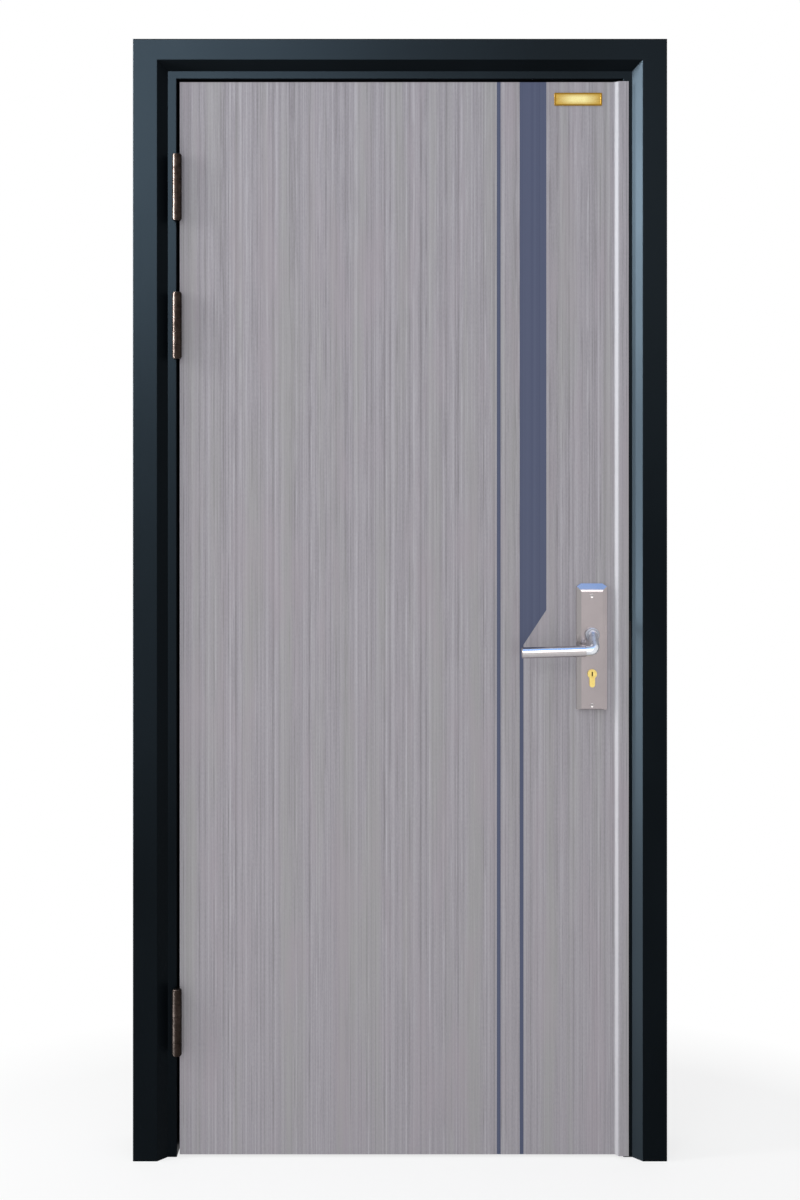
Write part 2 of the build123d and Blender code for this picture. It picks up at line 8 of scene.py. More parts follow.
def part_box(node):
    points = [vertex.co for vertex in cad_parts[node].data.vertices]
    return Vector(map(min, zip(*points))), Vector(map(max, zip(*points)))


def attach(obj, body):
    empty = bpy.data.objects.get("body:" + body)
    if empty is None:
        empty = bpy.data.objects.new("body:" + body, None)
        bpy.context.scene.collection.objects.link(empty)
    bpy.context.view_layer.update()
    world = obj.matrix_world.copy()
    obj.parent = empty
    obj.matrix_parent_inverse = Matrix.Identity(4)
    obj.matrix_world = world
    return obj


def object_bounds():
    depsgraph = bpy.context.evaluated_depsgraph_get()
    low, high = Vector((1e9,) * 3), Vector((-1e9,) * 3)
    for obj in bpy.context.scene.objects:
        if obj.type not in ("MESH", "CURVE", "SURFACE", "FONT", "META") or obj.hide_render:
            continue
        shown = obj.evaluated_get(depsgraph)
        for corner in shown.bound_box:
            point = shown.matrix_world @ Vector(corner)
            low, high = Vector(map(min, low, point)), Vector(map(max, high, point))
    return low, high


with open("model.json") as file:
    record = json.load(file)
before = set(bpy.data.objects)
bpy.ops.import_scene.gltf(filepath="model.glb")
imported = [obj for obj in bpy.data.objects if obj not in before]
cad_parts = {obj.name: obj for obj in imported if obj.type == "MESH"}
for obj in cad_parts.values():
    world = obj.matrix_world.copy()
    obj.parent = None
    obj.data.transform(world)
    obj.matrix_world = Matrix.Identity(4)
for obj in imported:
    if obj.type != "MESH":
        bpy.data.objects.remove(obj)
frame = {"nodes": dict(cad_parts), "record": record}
cad_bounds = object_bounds()

# A steel door leaf with a fine upright grain in a dark folded steel frame.
# Sizes are in metres. +X runs from the hinge side to the lock side, +Y into the wall, +Z up.
MM = 0.001

# View: a level camera in front of the door, with its frame shifted down to take in the foot.
# The casing's height in the picture sets the scale. The sensor's height is in millimetres.
IMAGE_HEIGHT = 1200
CASING_PIXELS = 1122.9
EYE_HEIGHT = 1.30
EYE_DISTANCE = 2.72
SENSOR = 36.0

# Light of the surround, and tints of the lamps
WORLD_LIGHT = 0.58
WHITE = (1.0, 1.0, 1.0)
SKY_TINT = (0.62, 0.78, 1.0)
SHEEN_TINT = (0.80, 0.91, 1.0)

# Soft lamps: place, point faced, size, power, tint, and whether glossy faces mirror them
SOFT_LAMPS = {
    "front_light": ((-0.8, -3.0, 2.75), (0.4, 0.0, 1.1), (1.0, 1.0), 14.0, WHITE, True),
    "side_light": ((-2.1, -0.6, 2.3), (0.9, 0.0, 1.6), (0.5, 1.4), 34.0, WHITE, True),
    "fill_light": ((1.7, -3.2, 0.8), (0.6, 0.0, 0.6), (2.4, 1.6), 18.0, WHITE, False),
    "foot_light": ((-1.6, -0.3, 0.3), (0.9, 0.0, 0.1), (0.5, 0.5), 7.0, WHITE, False),
    "top_light": ((0.5, -1.2, 3.4), (0.5, -0.3, 0.0), (2.4, 1.6), 9.0, SKY_TINT, False),
}

# Reflectors, which only glossy faces show: one over the handle and two upright rows.
# A row has the height, length and power of each reflector, from the top down.
BROW_PLACE = (1.25, -2.5, 2.2)
BROW_TARGET = (0.84, 0.0, 1.05)
BROW_SIZE = (1.8, 1.5)
BROW_POWER = 28.0
FRONT_SHEENS = ((2.7, 2.0, 300.0), (0.9, 1.4, 30.0))
FRONT_SHEEN_X = -0.65
FRONT_SHEEN_Y = -3.0
FRONT_SHEEN_WIDTH = 1.7
FRONT_SHEEN_AIM = 0.7
SIDE_SHEENS = ((2.55, 1.2, 440.0), (1.45, 1.0, 195.0), (0.45, 0.9, 200.0), (-0.8, 1.4, 130.0))
SIDE_SHEEN_X = -2.1
SIDE_SHEEN_Y = -0.46
SIDE_SHEEN_WIDTH = 0.45
SIDE_SHEEN_AIM_X = 0.9
SIDE_SHEEN_AIM_DOWN = 0.4
SKY_CARD_PLACE = (0.9, -1.3, 3.6)
SKY_CARD_SIZE = (3.0, 2.0)
SKY_CARD_LIGHT = (0.53, 0.99, 1.9, 1.0)

# Floor: it turns white outside a round patch whose centre lies a little in front of the door,
# and the camera sees it lifted towards white by a share
FLOOR_RADIUS = 14.0
FLOOR_SIDES = 96
FLOOR_COLOUR = (0.92, 0.92, 0.92, 1.0)
FLOOR_ROUGHNESS = 0.9
FLOOR_GLOSS = 0.1
FLOOR_PATCH_FORWARD = 0.75
FLOOR_FADE_FROM = 0.5
FLOOR_FADE_TO = 1.5
FLOOR_LIFT = 0.75

# Colours, as linear values
LEAF_PALE = (0.434, 0.415, 0.446)
LEAF_DARK = (0.248, 0.232, 0.250)
LEAF_GREY = (0.336, 0.336, 0.322)
LEAF_PINK = (0.360, 0.322, 0.352)
# Painted highlight on the slope up to the lip's face. The lamps light the slope brighter as well.
LIP_PAINTED_HIGHLIGHT = (0.54, 0.526, 0.55)
PAINT_BLACK = (0.0018, 0.0026, 0.0034)
PAINT_BLUE = (0.0026, 0.0038, 0.0050)
PAINT_SHEEN = (0.66, 0.85, 1.0, 1.0)
STRIPE_LIGHT = (0.100, 0.114, 0.178)
STRIPE_DARK = (0.080, 0.092, 0.148)
BRONZE_LIGHT = (0.038, 0.027, 0.022)
BRONZE_DARK = (0.012, 0.008, 0.006)
SATIN_LIGHT = (0.422, 0.375, 0.378)
SATIN_DARK = (0.364, 0.325, 0.330)
# Painted shade on the satin plate's faces that look towards the hinges
SATIN_PAINTED_SHADE = (0.320, 0.300, 0.302)
CHROME_LIGHT = (0.62, 0.58, 0.58)
CHROME_DARK = (0.53, 0.495, 0.495)
SCREW_LIGHT = (0.46, 0.43, 0.43)
SCREW_DARK = (0.36, 0.34, 0.34)
BRASS_LIGHT = (1.0, 0.80, 0.28)
BRASS_DARK = (0.82, 0.58, 0.16)
NECK_LIGHT = (0.80, 0.82, 0.86)
NECK_DARK = (0.70, 0.72, 0.76)
# Painted shade on the lever's collar next to the plate
COLLAR_PAINTED_SHADE = (0.33, 0.34, 0.38)
# Painted shade inside the keyway
KEYWAY_PAINTED_SHADE = (0.06, 0.04, 0.012)
STEEL_LIGHT = (0.42, 0.42, 0.42)
STEEL_DARK = (0.28, 0.28, 0.29)
STRIKE_LIGHT = (0.034, 0.031, 0.031)
STRIKE_DARK = (0.014, 0.013, 0.013)
RUBBER_LIGHT = (0.012, 0.012, 0.013)
RUBBER_DARK = (0.006, 0.006, 0.0065)
BOARD_LIGHT = (0.46, 0.36, 0.24)
BOARD_DARK = (0.30, 0.22, 0.14)
# Painted highlight in the middle of the name plate
GOLD_PAINTED_HIGHLIGHT = (1.0, 0.88, 0.40)
GOLD_LIGHT = (0.64, 0.39, 0.065)
GOLD_DARK = (0.32, 0.175, 0.022)

# Parts of a noise, which runs from 0 to 1, that spread over the two tones or the roughness of a finish
TONE_REACH = (0.35, 0.65)
METAL_REACH = (0.34, 0.66)
WIDE_REACH = (0.3, 0.7)

# Gloss, roughness from and to, and depth and strength of bumps
PAINT_GLOSS = 0.05
PAINT_ROUGHNESS = (0.30, 0.36)
PAINT_BUMP = (0.02 * MM, 0.25)
LEAF_GLOSS = 0.06
LEAF_ROUGHNESS = (0.42, 0.56)
LEAF_BUMP = (0.05 * MM, 0.35)
STRIPE_ROUGHNESS = (0.44, 0.54)
NECK_ROUGHNESS = (0.26, 0.32)
BRASS_ROUGHNESS = (0.26, 0.38)
GOLD_ROUGHNESS = (0.24, 0.34)
GOLD_BUMP = (0.003 * MM, 0.3)
RUBBER_GLOSS = 0.25
RUBBER_ROUGHNESS = (0.55, 0.75)
RUBBER_BUMP = (0.05 * MM, 0.3)
BOARD_ROUGHNESS = (0.8, 0.95)
BOARD_BUMP = (0.3 * MM, 0.4)
BRONZE_ROUGHNESS = (0.26, 0.38)
SATIN_ROUGHNESS = (0.22, 0.28)
CHROME_ROUGHNESS = (0.08, 0.16)
SCREW_ROUGHNESS = (0.16, 0.24)
STEEL_ROUGHNESS = (0.32, 0.45)
STRIKE_ROUGHNESS = (0.36, 0.5)

# Grain of the leaf: width and length of each layer of streaks
BROAD_STREAK = (34 * MM, 0.90)
BLOTCH = (46 * MM, 0.30)
MIDDLE_STREAK = (5.6 * MM, 6.00)
FINE_STREAK = (3.3 * MM, 6.00)
FINE_BREAK = (3.3 * MM, 0.095)
LINE = (3.2 * MM, 0.45)
PORE = (2.0 * MM, 6 * MM)
# The middle streaks repeat across the film. The fine ones fade, and turn over at a strength below 0.
MIDDLE_REPEAT = 67.7 * MM
BREAK_REACH = (0.36, 0.62)
BREAK_STRENGTH = (-0.2, 1.0)
# Share of each layer in the grain, the part of their sum that runs from dark to pale, and
# the parts of the other layers that bring in a tint, with the most that they bring
MIDDLE_SHARE = 0.29
FINE_SHARE = 0.54
PORE_SHARE = 0.12
GRAIN_REACH = (0.07, 0.35)
GREY_REACH = (0.48, 0.66)
GREY_MOST = 0.45
PINK_REACH = (0.50, 0.68)
PINK_MOST = 0.45
LINE_REACH = (0.58, 0.72)
LINE_MOST = 0.28

# Sizes of the features of other finishes, along each axis or all of them
PAINT_CLOUD = (0.22, 0.22, 0.35)
PAINT_SKIN = 1.6 * MM
NECK_PATCH = 12 * MM
GOLD_BRUSH = (14 * MM, 1 * MM, 0.5 * MM)
RUBBER_SPECKLE = (2 * MM, 2 * MM, 6 * MM)
BOARD_FIBRE = (6 * MM, 3 * MM, 1.5 * MM)

# Metals: sizes of their grain and patches, and depth of the bumps that some have.
# The patches have a share in the tone, and the grain has the rest.
BRONZE_GRAIN = 3 * MM
BRONZE_PATCH = 14 * MM
BRONZE_BUMP = 0.03 * MM
SATIN_GRAIN = (0.4 * MM, 0.4 * MM, 30 * MM)
SATIN_PATCH = 60 * MM
SATIN_BUMP = 0.004 * MM
CHROME_GRAIN = 4 * MM
CHROME_PATCH = 30 * MM
SCREW_GRAIN = 1 * MM
SCREW_PATCH = 8 * MM
BRASS_GRAIN = 0.5 * MM
BRASS_PATCH = 9 * MM
STEEL_GRAIN = (0.5 * MM, 0.5 * MM, 20 * MM)
STEEL_PATCH = 25 * MM
STEEL_BUMP = 0.005 * MM
STRIKE_GRAIN = 2 * MM
STRIKE_PATCH = 20 * MM
STRIKE_BUMP = 0.01 * MM
METAL_BUMP_STRENGTH = 0.3
METAL_PATCH_SHARE = 0.6

# Places where a finish changes
BAND_SOFT = 0.8 * MM
LIP_BEND_EDGE = 0.9 * MM
LIP_FACE_DEPTH = 0.2 * MM
COLLAR_LENGTH = 8.5 * MM
COLLAR_SOFT = 0.2 * MM
KEYWAY_RIM = 1.0 * MM
KEYWAY_SOFT = 0.3 * MM
BAND_MARGIN = 1 * MM
# A face takes painted shade as it looks towards the hinges, between these parts of its normal along +X
PAINTED_SHADE_TILT = (-0.20, -0.08)
# The painted highlight in the middle of the name plate, as shares of its half width and half height, and
# what its brushing leaves
HIGHLIGHT_REACH = 0.6
HIGHLIGHT_SOFT_ACROSS = 0.35
HIGHLIGHT_SOFT_UP = 0.3
HIGHLIGHT_BRUSH_REACH = (0.2, 0.8)
HIGHLIGHT_LEAST = 0.8
GOLD_LEAST = 0.45

# Screws. Shares of a head's height: its rim, its dish and the floor of its recess.
# Shares of its radius: the flat land inside the rim, and the reach and half width of its recess.
SCREW_SIDES = 28
SCREW_RIM = 0.3
SCREW_FLOOR = 0.1
SCREW_LAND = 0.12
SCREW_RECESS = 0.55
SCREW_RECESS_WIDTH = 0.2
# Shares of the rim: its rounding. Shares of the recess: the foot of the dish round it, and its floor.
SCREW_RIM_ROUND = 0.3
SCREW_WELL = 1.12
SCREW_TAPER_REACH = 0.85
SCREW_TAPER_WIDTH = 0.8
# Turn of a piece's first head, and from each head to the next, in radians
SCREW_TURN = 0.4
SCREW_TURN_STEP = 0.7
PLATE_SCREW_RADIUS = 4.1 * MM
PLATE_SCREW_HEIGHT = 1.3 * MM
PLATE_SCREW_DISH = 0.36
PLATE_SCREW_RECESS = 0.28
PLATE_SCREW_DOWN = 22.4 * MM
PLATE_SCREW_UP = 8.2 * MM
HINGE_SCREW_RADIUS = 3.5 * MM
HINGE_SCREW_HEIGHT = 0.25 * MM
HINGE_SCREW_INSETS = (12 * MM, 27 * MM)
HINGE_SCREW_ENDS = (18 * MM, 50 * MM)
HINGE_FACE_BEHIND = 1 * MM
LOCK_SCREW_RADIUS = 3.4 * MM
LOCK_SCREW_HEIGHT = 0.4 * MM
FOREND_SCREW_END = 14 * MM

# Bare name plate: a raised rim round a sunk field, whose middle rises by a share of the sink
# inside an inset that is a share of the plate's height
NAME_PLATE_WIDTH = 87.6 * MM
NAME_PLATE_HEIGHT = 23.7 * MM
NAME_PLATE_FROM_LOCK_EDGE = 74.6 * MM
NAME_PLATE_DOWN = 31.5 * MM
NAME_PLATE_THICKNESS = 1.4 * MM
NAME_PLATE_RIM = 2.6 * MM
NAME_PLATE_SINK = 0.45 * MM
NAME_PLATE_RISE = 0.5
NAME_PLATE_RISE_INSET = 0.35
NAME_PLATE_CORNER = 1.6 * MM
NAME_PLATE_LEAST_CORNER = 0.3 * MM
NAME_PLATE_BEVEL = 0.2 * MM
CORNER_STEPS = 6

# Groups of nodes and pieces
HINGES = ("top", "middle", "bottom")
HINGE_NODES = tuple(
    place + "_hinge_" + piece for place in HINGES for piece in ("frame_plate", "door_plate", "pin")
)
FRAME_NODES = ("hinge_jamb", "lock_jamb", "head_jamb")
HANDLE_NODES = (
    "outside_handle_plate", "outside_lever_neck", "outside_lever_grip",
    "inside_handle_plate", "inside_lever_neck", "inside_lever_grip",
)
PLATE_SCREWS = ("outside_plate_screws", "inside_plate_screws")


def even(size):
    """One size along all three axes."""
    return (size, size, size)


class Finish:
    """One material's node tree, with short calls to add and join nodes."""

    def __init__(self, name):
        self.material = bpy.data.materials.new(name)
        self.material.use_nodes = True
        self.tree = self.material.node_tree
        self.shader = self.tree.nodes["Principled BSDF"]

    def add(self, kind, **settings):
        node = self.tree.nodes.new(kind)
        for key, value in settings.items():
            setattr(node, key, value)
        return node

    def join(self, source, target):
        self.tree.links.new(source, target)

    def set(self, **values):
        """Constants on the shader, written as words with underscores."""
        for key, value in values.items():
            self.shader.inputs[key.replace("_", " ")].default_value = value

    def along(self, kind, axis):
        """One part of the object's coordinates or of its normal."""
        parts = self.add("ShaderNodeSeparateXYZ")
        self.join(self.add("ShaderNodeTexCoord").outputs[kind], parts.inputs["Vector"])
        return parts.outputs[axis]

    def place(self, sizes, upright=False, repeat=None):
        """Object coordinates, divided by a feature's size along each axis."""
        coordinates = self.add("ShaderNodeTexCoord")
        source = coordinates.outputs["Object"]
        if upright:
            source = self.across_and_up(source, repeat)
        mapping = self.add("ShaderNodeMapping")
        mapping.inputs["Scale"].default_value = [1 / size for size in sizes]
        self.join(source, mapping.inputs["Vector"])
        return mapping.outputs["Vector"]

    def across_and_up(self, source, repeat=None):
        """Width runs round the edges, so that upright streaks follow every side. It can repeat."""
        parts = self.add("ShaderNodeSeparateXYZ")
        self.join(source, parts.inputs["Vector"])
        across = self.math("ADD", parts.outputs["X"], parts.outputs["Y"])
        if repeat:
            across = self.math("FLOORED_MODULO", across, repeat)
        whole = self.add("ShaderNodeCombineXYZ")
        self.join(across, whole.inputs["X"])
        self.join(parts.outputs["Z"], whole.inputs["Z"])
        return whole.outputs["Vector"]

    def noise(self, sizes, detail=2.0, upright=False, repeat=None):
        node = self.add("ShaderNodeTexNoise")
        node.inputs["Scale"].default_value = 1.0
        node.inputs["Detail"].default_value = detail
        self.join(self.place(sizes, upright, repeat), node.inputs["Vector"])
        return node.outputs["Fac"]

    def streaks(self, width_and_length, detail=2.0, repeat=None):
        width, length = width_and_length
        return self.noise((width, 1.0, length), detail, upright=True, repeat=repeat)

    def broken_lines(self, line, breaks):
        """Straight upright lines, about 0, that fade in and out and turn over along their length."""
        straight = self.math("SUBTRACT", self.streaks(line, detail=0.0), 0.5)
        strength = self.spread(self.streaks(breaks, detail=1.0), *BREAK_REACH, *BREAK_STRENGTH)
        return self.math("MULTIPLY", straight, strength)

    def math(self, operation, first, second):
        node = self.add("ShaderNodeMath", operation=operation)
        for socket, value in zip(node.inputs, (first, second)):
            if isinstance(value, (int, float)):
                socket.default_value = value
            else:
                self.join(value, socket)
        return node.outputs["Value"]

    def blend(self, *layers):
        """The sum of several layers, each times its share."""
        parts = [self.math("MULTIPLY", layer, share) for layer, share in layers]
        total = parts[0]
        for part in parts[1:]:
            total = self.math("ADD", total, part)
        return total

    def spread(self, factor, low, high, to_low=0.0, to_high=1.0):
        """A part of a factor's range, stretched over another range and cut off at its ends."""
        node = self.add("ShaderNodeMapRange")
        node.inputs["From Min"].default_value = low
        node.inputs["From Max"].default_value = high
        node.inputs["To Min"].default_value = to_low
        node.inputs["To Max"].default_value = to_high
        self.join(factor, node.inputs["Value"])
        return node.outputs["Result"]

    def mix(self, factor, first, second):
        node = self.add("ShaderNodeMix", data_type="RGBA")
        colour_sockets = [socket for socket in node.inputs if socket.type == "RGBA"]
        self.join(factor, node.inputs["Factor"])
        for socket, value in zip(colour_sockets, (first, second)):
            if isinstance(value, tuple):
                socket.default_value = (*value, 1.0)
            else:
                self.join(value, socket)
        return [socket for socket in node.outputs if socket.type == "RGBA"][0]

    def tones(self, factor, reach, dark, light):
        """From a dark tone to a light one over a part of the factor's range."""
        return self.mix(self.spread(factor, *reach), dark, light)

    def band(self, axis, low, high, soft=BAND_SOFT):
        """1 between two places along an axis, with soft edges."""
        place = self.along("Object", axis)
        after = self.spread(place, low - soft, low + soft)
        before = self.spread(place, high - soft, high + soft, 1.0, 0.0)
        return self.math("MULTIPLY", after, before)

    def patch(self, centre, half_width, half_height, soft_across=BAND_SOFT, soft_up=BAND_SOFT):
        """1 inside an upright rectangle about a point, with soft edges."""
        across = self.band("X", centre.x - half_width, centre.x + half_width, soft_across)
        upward = self.band("Z", centre.z - half_height, centre.z + half_height, soft_up)
        return self.math("MULTIPLY", across, upward)

    def facing(self, axis, low, high):
        """How far faces look along an axis, from 0 to 1 between two parts of their normal."""
        return self.spread(self.along("Normal", axis), low, high)

    def colour(self, source):
        self.join(source, self.shader.inputs["Base Color"])

    def roughness(self, factor, low, high):
        self.join(self.spread(factor, *WIDE_REACH, low, high), self.shader.inputs["Roughness"])

    def bump(self, height, distance, strength):
        node = self.add("ShaderNodeBump")
        node.inputs["Strength"].default_value = strength
        node.inputs["Distance"].default_value = distance
        self.join(height, node.inputs["Height"])
        self.join(node.outputs["Normal"], self.shader.inputs["Normal"])


def leaf_finish(name, bend=None):
    """Film with a fine upright grain: streaks, thin dark lines, short pores and soft blotches of tint.

    A bend is a pair of X places between which the film is drawn pale, a painted highlight on the lip's
    slope."""
    finish = Finish(name)
    broad = finish.streaks(BROAD_STREAK)
    blotch = finish.streaks(BLOTCH)
    middle = finish.streaks(MIDDLE_STREAK, detail=1.0, repeat=MIDDLE_REPEAT)
    fine = finish.broken_lines(FINE_STREAK, FINE_BREAK)
    line = finish.streaks(LINE, detail=1.0)
    pore = finish.streaks(PORE, detail=1.0)
    layers = finish.blend((middle, MIDDLE_SHARE), (fine, FINE_SHARE), (pore, PORE_SHARE))
    streaked = finish.tones(layers, GRAIN_REACH, LEAF_DARK, LEAF_PALE)
    grey = finish.mix(finish.spread(broad, *GREY_REACH, 0.0, GREY_MOST), streaked, LEAF_GREY)
    pink = finish.mix(finish.spread(blotch, *PINK_REACH, 0.0, PINK_MOST), grey, LEAF_PINK)
    grain = finish.mix(finish.spread(line, *LINE_REACH, 0.0, LINE_MOST), pink, LEAF_DARK)
    if bend:
        # Painted highlight: the slope up to the lip's face is drawn pale
        grain = finish.mix(finish.band("X", *bend), grain, LIP_PAINTED_HIGHLIGHT)
    finish.colour(grain)
    finish.roughness(line, *LEAF_ROUGHNESS)
    finish.bump(line, *LEAF_BUMP)
    finish.set(Specular_IOR_Level=LEAF_GLOSS)
    return finish.material


def lip_highlight_span():
    """The X places of the slope up to the lip's face, which carries a painted highlight."""
    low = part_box("leaf_lock_lip")[0]
    points = [vert.co for vert in frame["nodes"]["leaf_lock_lip"].data.vertices]
    face = [point.x for point in points if point.y < low.y + LIP_FACE_DEPTH]
    return low.x + LIP_BEND_EDGE, min(face) - LIP_BEND_EDGE


def stripe_finish():
    """Blue-grey film with long faint streaks."""
    finish = Finish("stripe_film")
    streak = finish.streaks(MIDDLE_STREAK)
    finish.colour(finish.tones(streak, WIDE_REACH, STRIPE_DARK, STRIPE_LIGHT))
    finish.roughness(streak, *STRIPE_ROUGHNESS)
    finish.set(Specular_IOR_Level=LEAF_GLOSS)
    return finish.material


def paint_finish():
    """Dark satin paint with a faint skin of fine bumps."""
    finish = Finish("frame_paint")
    cloud = finish.noise(PAINT_CLOUD, detail=3.0)
    skin = finish.noise(even(PAINT_SKIN))
    finish.colour(finish.tones(cloud, TONE_REACH, PAINT_BLACK, PAINT_BLUE))
    finish.roughness(cloud, *PAINT_ROUGHNESS)
    finish.bump(skin, *PAINT_BUMP)
    finish.set(Specular_IOR_Level=PAINT_GLOSS, Specular_Tint=PAINT_SHEEN)
    return finish.material


def metal_finish(name, dark, light, rough, grain, patch, bump=0.0, painted_shade_side=None):
    """Metal whose colour and gloss change a little from patch to patch and along its grain.

    Faces that look towards the hinges can take a darker colour of their own, painted shade on that side."""
    finish = Finish(name)
    patches = finish.noise(patch, detail=3.0)
    lines = finish.noise(grain)
    both = finish.blend((patches, METAL_PATCH_SHARE), (lines, 1 - METAL_PATCH_SHARE))
    colour = finish.tones(both, METAL_REACH, dark, light)
    if painted_shade_side:
        # Painted shade: faces that look towards the hinges take the darker colour
        colour = finish.mix(finish.facing("X", *PAINTED_SHADE_TILT), painted_shade_side, colour)
    finish.colour(colour)
    finish.roughness(both, *rough)
    if bump:
        finish.bump(lines, bump, METAL_BUMP_STRENGTH)
    finish.set(Metallic=1.0)
    return finish.material


def neck_finish(node, plate, outward):
    """Satin chrome, with painted shade on the collar next to the plate."""
    finish = Finish(node + "_chrome")
    low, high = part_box(plate)
    seat = low.y if outward < 0 else high.y
    ends = sorted((seat, seat + outward * COLLAR_LENGTH))
    patches = finish.noise(even(NECK_PATCH), detail=3.0)
    bright = finish.tones(patches, TONE_REACH, NECK_DARK, NECK_LIGHT)
    collar = finish.band("Y", ends[0] - BAND_MARGIN, ends[1] + BAND_MARGIN, COLLAR_SOFT)
    # Painted shade on the collar where it meets the plate
    finish.colour(finish.mix(collar, bright, COLLAR_PAINTED_SHADE))
    finish.roughness(patches, *NECK_ROUGHNESS)
    finish.set(Metallic=1.0)
    return finish.material


def plug_finish(node, outward):
    """Brass, with painted shade inside the keyway."""
    finish = Finish(node + "_brass")
    low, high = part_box(node)
    if outward < 0:
        inside = (low.y + KEYWAY_RIM, high.y + BAND_MARGIN)
    else:
        inside = (low.y - BAND_MARGIN, high.y - KEYWAY_RIM)
    patches = finish.noise(even(BRASS_PATCH), detail=3.0)
    bright = finish.tones(patches, METAL_REACH, BRASS_DARK, BRASS_LIGHT)
    # Painted shade inside the keyway
    finish.colour(finish.mix(finish.band("Y", *inside, KEYWAY_SOFT), bright, KEYWAY_PAINTED_SHADE))
    finish.roughness(patches, *BRASS_ROUGHNESS)
    finish.set(Metallic=1.0)
    return finish.material


def name_plate_centre():
    """The middle of the name plate's back, high on the lock side of the leaf."""
    low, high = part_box("leaf_front_skin")
    return Vector((high.x - NAME_PLATE_FROM_LOCK_EDGE, low.y, high.z - NAME_PLATE_DOWN))


def gold_finish():
    """Brushed gold sheet with a painted highlight in the middle of the name plate, and darkest on its
    rim.
    """
    finish = Finish("name_plate_gold")
    centre = name_plate_centre()
    half_width = NAME_PLATE_WIDTH / 2
    half_height = NAME_PLATE_HEIGHT / 2
    brush = finish.noise(GOLD_BRUSH)
    # The glow is a painted highlight in the middle of the name plate
    glow = finish.patch(
        centre, HIGHLIGHT_REACH * half_width, HIGHLIGHT_REACH * half_height,
        HIGHLIGHT_SOFT_ACROSS * half_width, HIGHLIGHT_SOFT_UP * half_height,
    )
    inside = finish.patch(centre, half_width - NAME_PLATE_RIM, half_height - NAME_PLATE_RIM)
    brushed = finish.mix(finish.spread(brush, *WIDE_REACH, GOLD_LEAST, 1.0), GOLD_DARK, GOLD_LIGHT)
    highlight_share = finish.math("MULTIPLY", glow, finish.spread(brush, *HIGHLIGHT_BRUSH_REACH, HIGHLIGHT_LEAST, 1.0))
    field = finish.mix(highlight_share, brushed, GOLD_PAINTED_HIGHLIGHT)
    finish.colour(finish.mix(inside, GOLD_DARK, field))
    finish.roughness(brush, *GOLD_ROUGHNESS)
    finish.bump(brush, *GOLD_BUMP)
    finish.set(Metallic=1.0)
    return finish.material


def rubber_finish():
    """Black rubber with a fine speckle."""
    finish = Finish("seal_rubber")
    speckle = finish.noise(RUBBER_SPECKLE, detail=3.0)
    finish.colour(finish.tones(speckle, TONE_REACH, RUBBER_DARK, RUBBER_LIGHT))
    finish.roughness(speckle, *RUBBER_ROUGHNESS)
    finish.bump(speckle, *RUBBER_BUMP)
    finish.set(Specular_IOR_Level=RUBBER_GLOSS)
    return finish.material


def board_finish():
    """Brown board with short fibres."""
    finish = Finish("core_board")
    fibre = finish.noise(BOARD_FIBRE, detail=4.0)
    finish.colour(finish.tones(fibre, TONE_REACH, BOARD_DARK, BOARD_LIGHT))
    finish.roughness(fibre, *BOARD_ROUGHNESS)
    finish.bump(fibre, *BOARD_BUMP)
    return finish.material


PAINT = paint_finish()
LEAF = leaf_finish("leaf_film")
LIP = leaf_finish("lip_film", lip_highlight_span())
STRIPE = stripe_finish()
BRONZE = metal_finish(
    "hinge_bronze", BRONZE_DARK, BRONZE_LIGHT, BRONZE_ROUGHNESS,
    even(BRONZE_GRAIN), even(BRONZE_PATCH), BRONZE_BUMP,
)
SATIN = metal_finish(
    "plate_satin", SATIN_DARK, SATIN_LIGHT, SATIN_ROUGHNESS,
    SATIN_GRAIN, even(SATIN_PATCH), SATIN_BUMP, SATIN_PAINTED_SHADE,
)
NECK = neck_finish("outside_lever_neck", "outside_handle_plate", -1)
INSIDE_NECK = neck_finish("inside_lever_neck", "inside_handle_plate", 1)
PLUG = plug_finish("key_plug", -1)
INSIDE_PLUG = plug_finish("inside_key_plug", 1)
CHROME = metal_finish(
    "lever_chrome", CHROME_DARK, CHROME_LIGHT, CHROME_ROUGHNESS,
    even(CHROME_GRAIN), even(CHROME_PATCH),
)
SCREW = metal_finish(
    "screw_steel", SCREW_DARK, SCREW_LIGHT, SCREW_ROUGHNESS,
    even(SCREW_GRAIN), even(SCREW_PATCH),
)
BRASS = metal_finish(
    "cylinder_brass", BRASS_DARK, BRASS_LIGHT, BRASS_ROUGHNESS,
    even(BRASS_GRAIN), even(BRASS_PATCH),
)
STEEL = metal_finish(
    "lock_steel", STEEL_DARK, STEEL_LIGHT, STEEL_ROUGHNESS,
    STEEL_GRAIN, even(STEEL_PATCH), STEEL_BUMP,
)
STRIKE = metal_finish(
    "strike_steel", STRIKE_DARK, STRIKE_LIGHT, STRIKE_ROUGHNESS,
    even(STRIKE_GRAIN), even(STRIKE_PATCH), STRIKE_BUMP,
)
GOLD = gold_finish()
RUBBER = rubber_finish()
BOARD = board_finish()

SLOT_FINISHES = {
    "frame_paint": PAINT,
    "leaf_finish": LEAF,
    "stripe_finish": STRIPE,
    "hinge_bronze": BRONZE,
    "handle_chrome": SATIN,
    "cylinder_brass": BRASS,
    "lock_steel": STEEL,
    "strike_steel": STRIKE,
    "seal_rubber": RUBBER,
    "core_board": BOARD,
}
NODE_FINISHES = {
    "leaf_lock_lip": LIP,
    "key_plug": PLUG,
    "inside_key_plug": INSIDE_PLUG,
    "outside_lever_neck": NECK,
    "outside_lever_grip": CHROME,
    "inside_lever_neck": INSIDE_NECK,
    "inside_lever_grip": CHROME,
}


